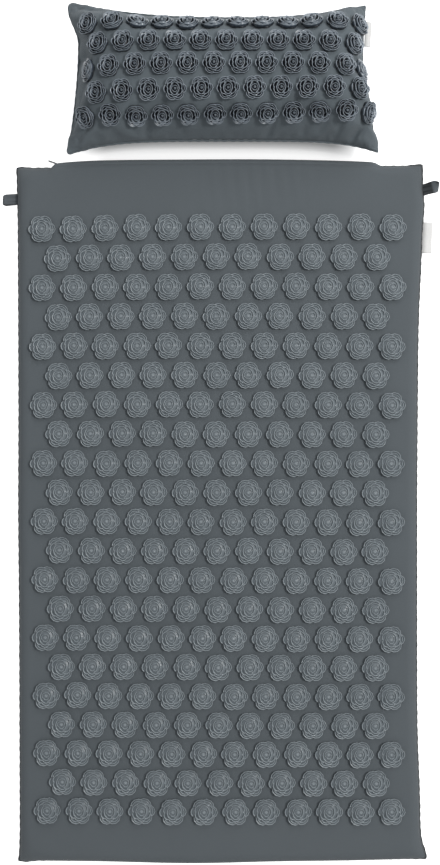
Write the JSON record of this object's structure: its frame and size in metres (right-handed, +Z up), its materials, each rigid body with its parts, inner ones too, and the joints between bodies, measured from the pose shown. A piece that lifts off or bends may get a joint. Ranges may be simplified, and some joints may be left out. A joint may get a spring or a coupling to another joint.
{
  "type": "acupressure mat",
  "caption": "Foam-filled cotton acupressure mat with rows of moulded rosettes, a zip in its head edge, side loops, and a matching filled pillow.",
  "frame": {"origin": "middle of the mat's underside, where it rests on the floor", "axes": "+X to the right as seen from above with the head end away, +Y towards the head end and the pillow, +Z up"},
  "size_m": [0.43, 0.8475, 0.0776],
  "materials": {
    "mat_cotton": "slate grey woven cotton",
    "pillow_cotton": "slate grey woven cotton",
    "foam": "open-cell foam",
    "filling": "soft filling",
    "mat_rosette": "moulded grey plastic, slightly glossy",
    "pillow_rosette": "moulded dark blue-grey plastic, glossy",
    "zip_tape": "woven zip tape",
    "zip_chain": "nylon coil",
    "zip_metal": "dark enamelled metal",
    "webbing": "woven charcoal webbing",
    "label_satin": "bare pale satin tape"
  },
  "bodies": {
    "mat": {"mat_top_panel": "mat_cotton", "mat_bottom_panel": "mat_cotton", "mat_foam_core": "foam", "mat_disc_row_01": "mat_rosette", "mat_disc_row_02": "mat_rosette", "mat_disc_row_03": "mat_rosette", "mat_disc_row_04": "mat_rosette", "mat_disc_row_05": "mat_rosette", "mat_disc_row_06": "mat_rosette", "mat_disc_row_07": "mat_rosette", "mat_disc_row_08": "mat_rosette", "mat_disc_row_09": "mat_rosette", "mat_disc_row_10": "mat_rosette", "mat_disc_row_11": "mat_rosette", "mat_disc_row_12": "mat_rosette", "mat_disc_row_13": "mat_rosette", "mat_disc_row_14": "mat_rosette", "mat_disc_row_15": "mat_rosette", "mat_disc_row_16": "mat_rosette", "mat_disc_row_17": "mat_rosette", "mat_disc_row_18": "mat_rosette", "mat_disc_row_19": "mat_rosette", "mat_disc_row_20": "mat_rosette", "mat_disc_row_21": "mat_rosette", "mat_zip_tape_upper": "zip_tape", "mat_zip_tape_lower": "zip_tape", "mat_zip_chain": "zip_chain", "mat_zip_stop_left": "zip_metal", "mat_zip_stop_right": "zip_metal"},
    "zip_slider": {"mat_zip_slider": "zip_metal"},
    "zip_pull": {"mat_zip_pull": "zip_metal"},
    "loop_left": {"mat_loop_left": "webbing"},
    "loop_right": {"mat_loop_right": "webbing"},
    "mat_tag": {"mat_label": "label_satin"},
    "pillow": {"pillow_top_panel": "pillow_cotton", "pillow_bottom_panel": "pillow_cotton", "pillow_fill": "filling", "pillow_disc_row_1": "pillow_rosette", "pillow_disc_row_2": "pillow_rosette", "pillow_disc_row_3": "pillow_rosette", "pillow_disc_row_4": "pillow_rosette", "pillow_disc_row_5": "pillow_rosette"},
    "pillow_tag": {"pillow_label": "label_satin"}
  },
  "joints": [
    {"name": "zip_slide", "type": "slide", "parent": "mat", "child": "zip_slider", "axis": [1, 0, 0], "range_m": [0, 0.3125]},
    {"name": "zip_pull_turn", "type": "hinge", "parent": "zip_slider", "child": "zip_pull", "pos_m": [-0.1564, 0.34495, 0.011], "axis": [0, 0, 1], "range_deg": [-130, 20]},
    {"name": "loop_left_bend", "type": "hinge", "parent": "mat", "child": "loop_left", "pos_m": [-0.2018, 0.312, 0.011], "axis": [0, 1, 0], "range_deg": [-20, 60], "stiffness_Nm_per_rad": 0.002},
    {"name": "loop_right_bend", "type": "hinge", "parent": "mat", "child": "loop_right", "pos_m": [0.2018, 0.3205, 0.011], "axis": [0, -1, 0], "range_deg": [-20, 60], "stiffness_Nm_per_rad": 0.002},
    {"name": "mat_tag_bend", "type": "hinge", "parent": "mat", "child": "mat_tag", "pos_m": [0.20065, 0.2712, 0.011], "axis": [0, -1, 0], "range_deg": [-35, 60], "stiffness_Nm_per_rad": 0.0005},
    {"name": "pillow_lift", "type": "slide", "parent": "mat", "child": "pillow", "axis": [0, 0, 1], "range_m": [0, 0.15]},
    {"name": "pillow_tag_bend", "type": "hinge", "parent": "pillow", "child": "pillow_tag", "pos_m": [0.14569, 0.47107, 0.03], "axis": [-0.1744, -0.9847, 0], "range_deg": [-50, 50], "stiffness_Nm_per_rad": 0.0005}
  ]
}
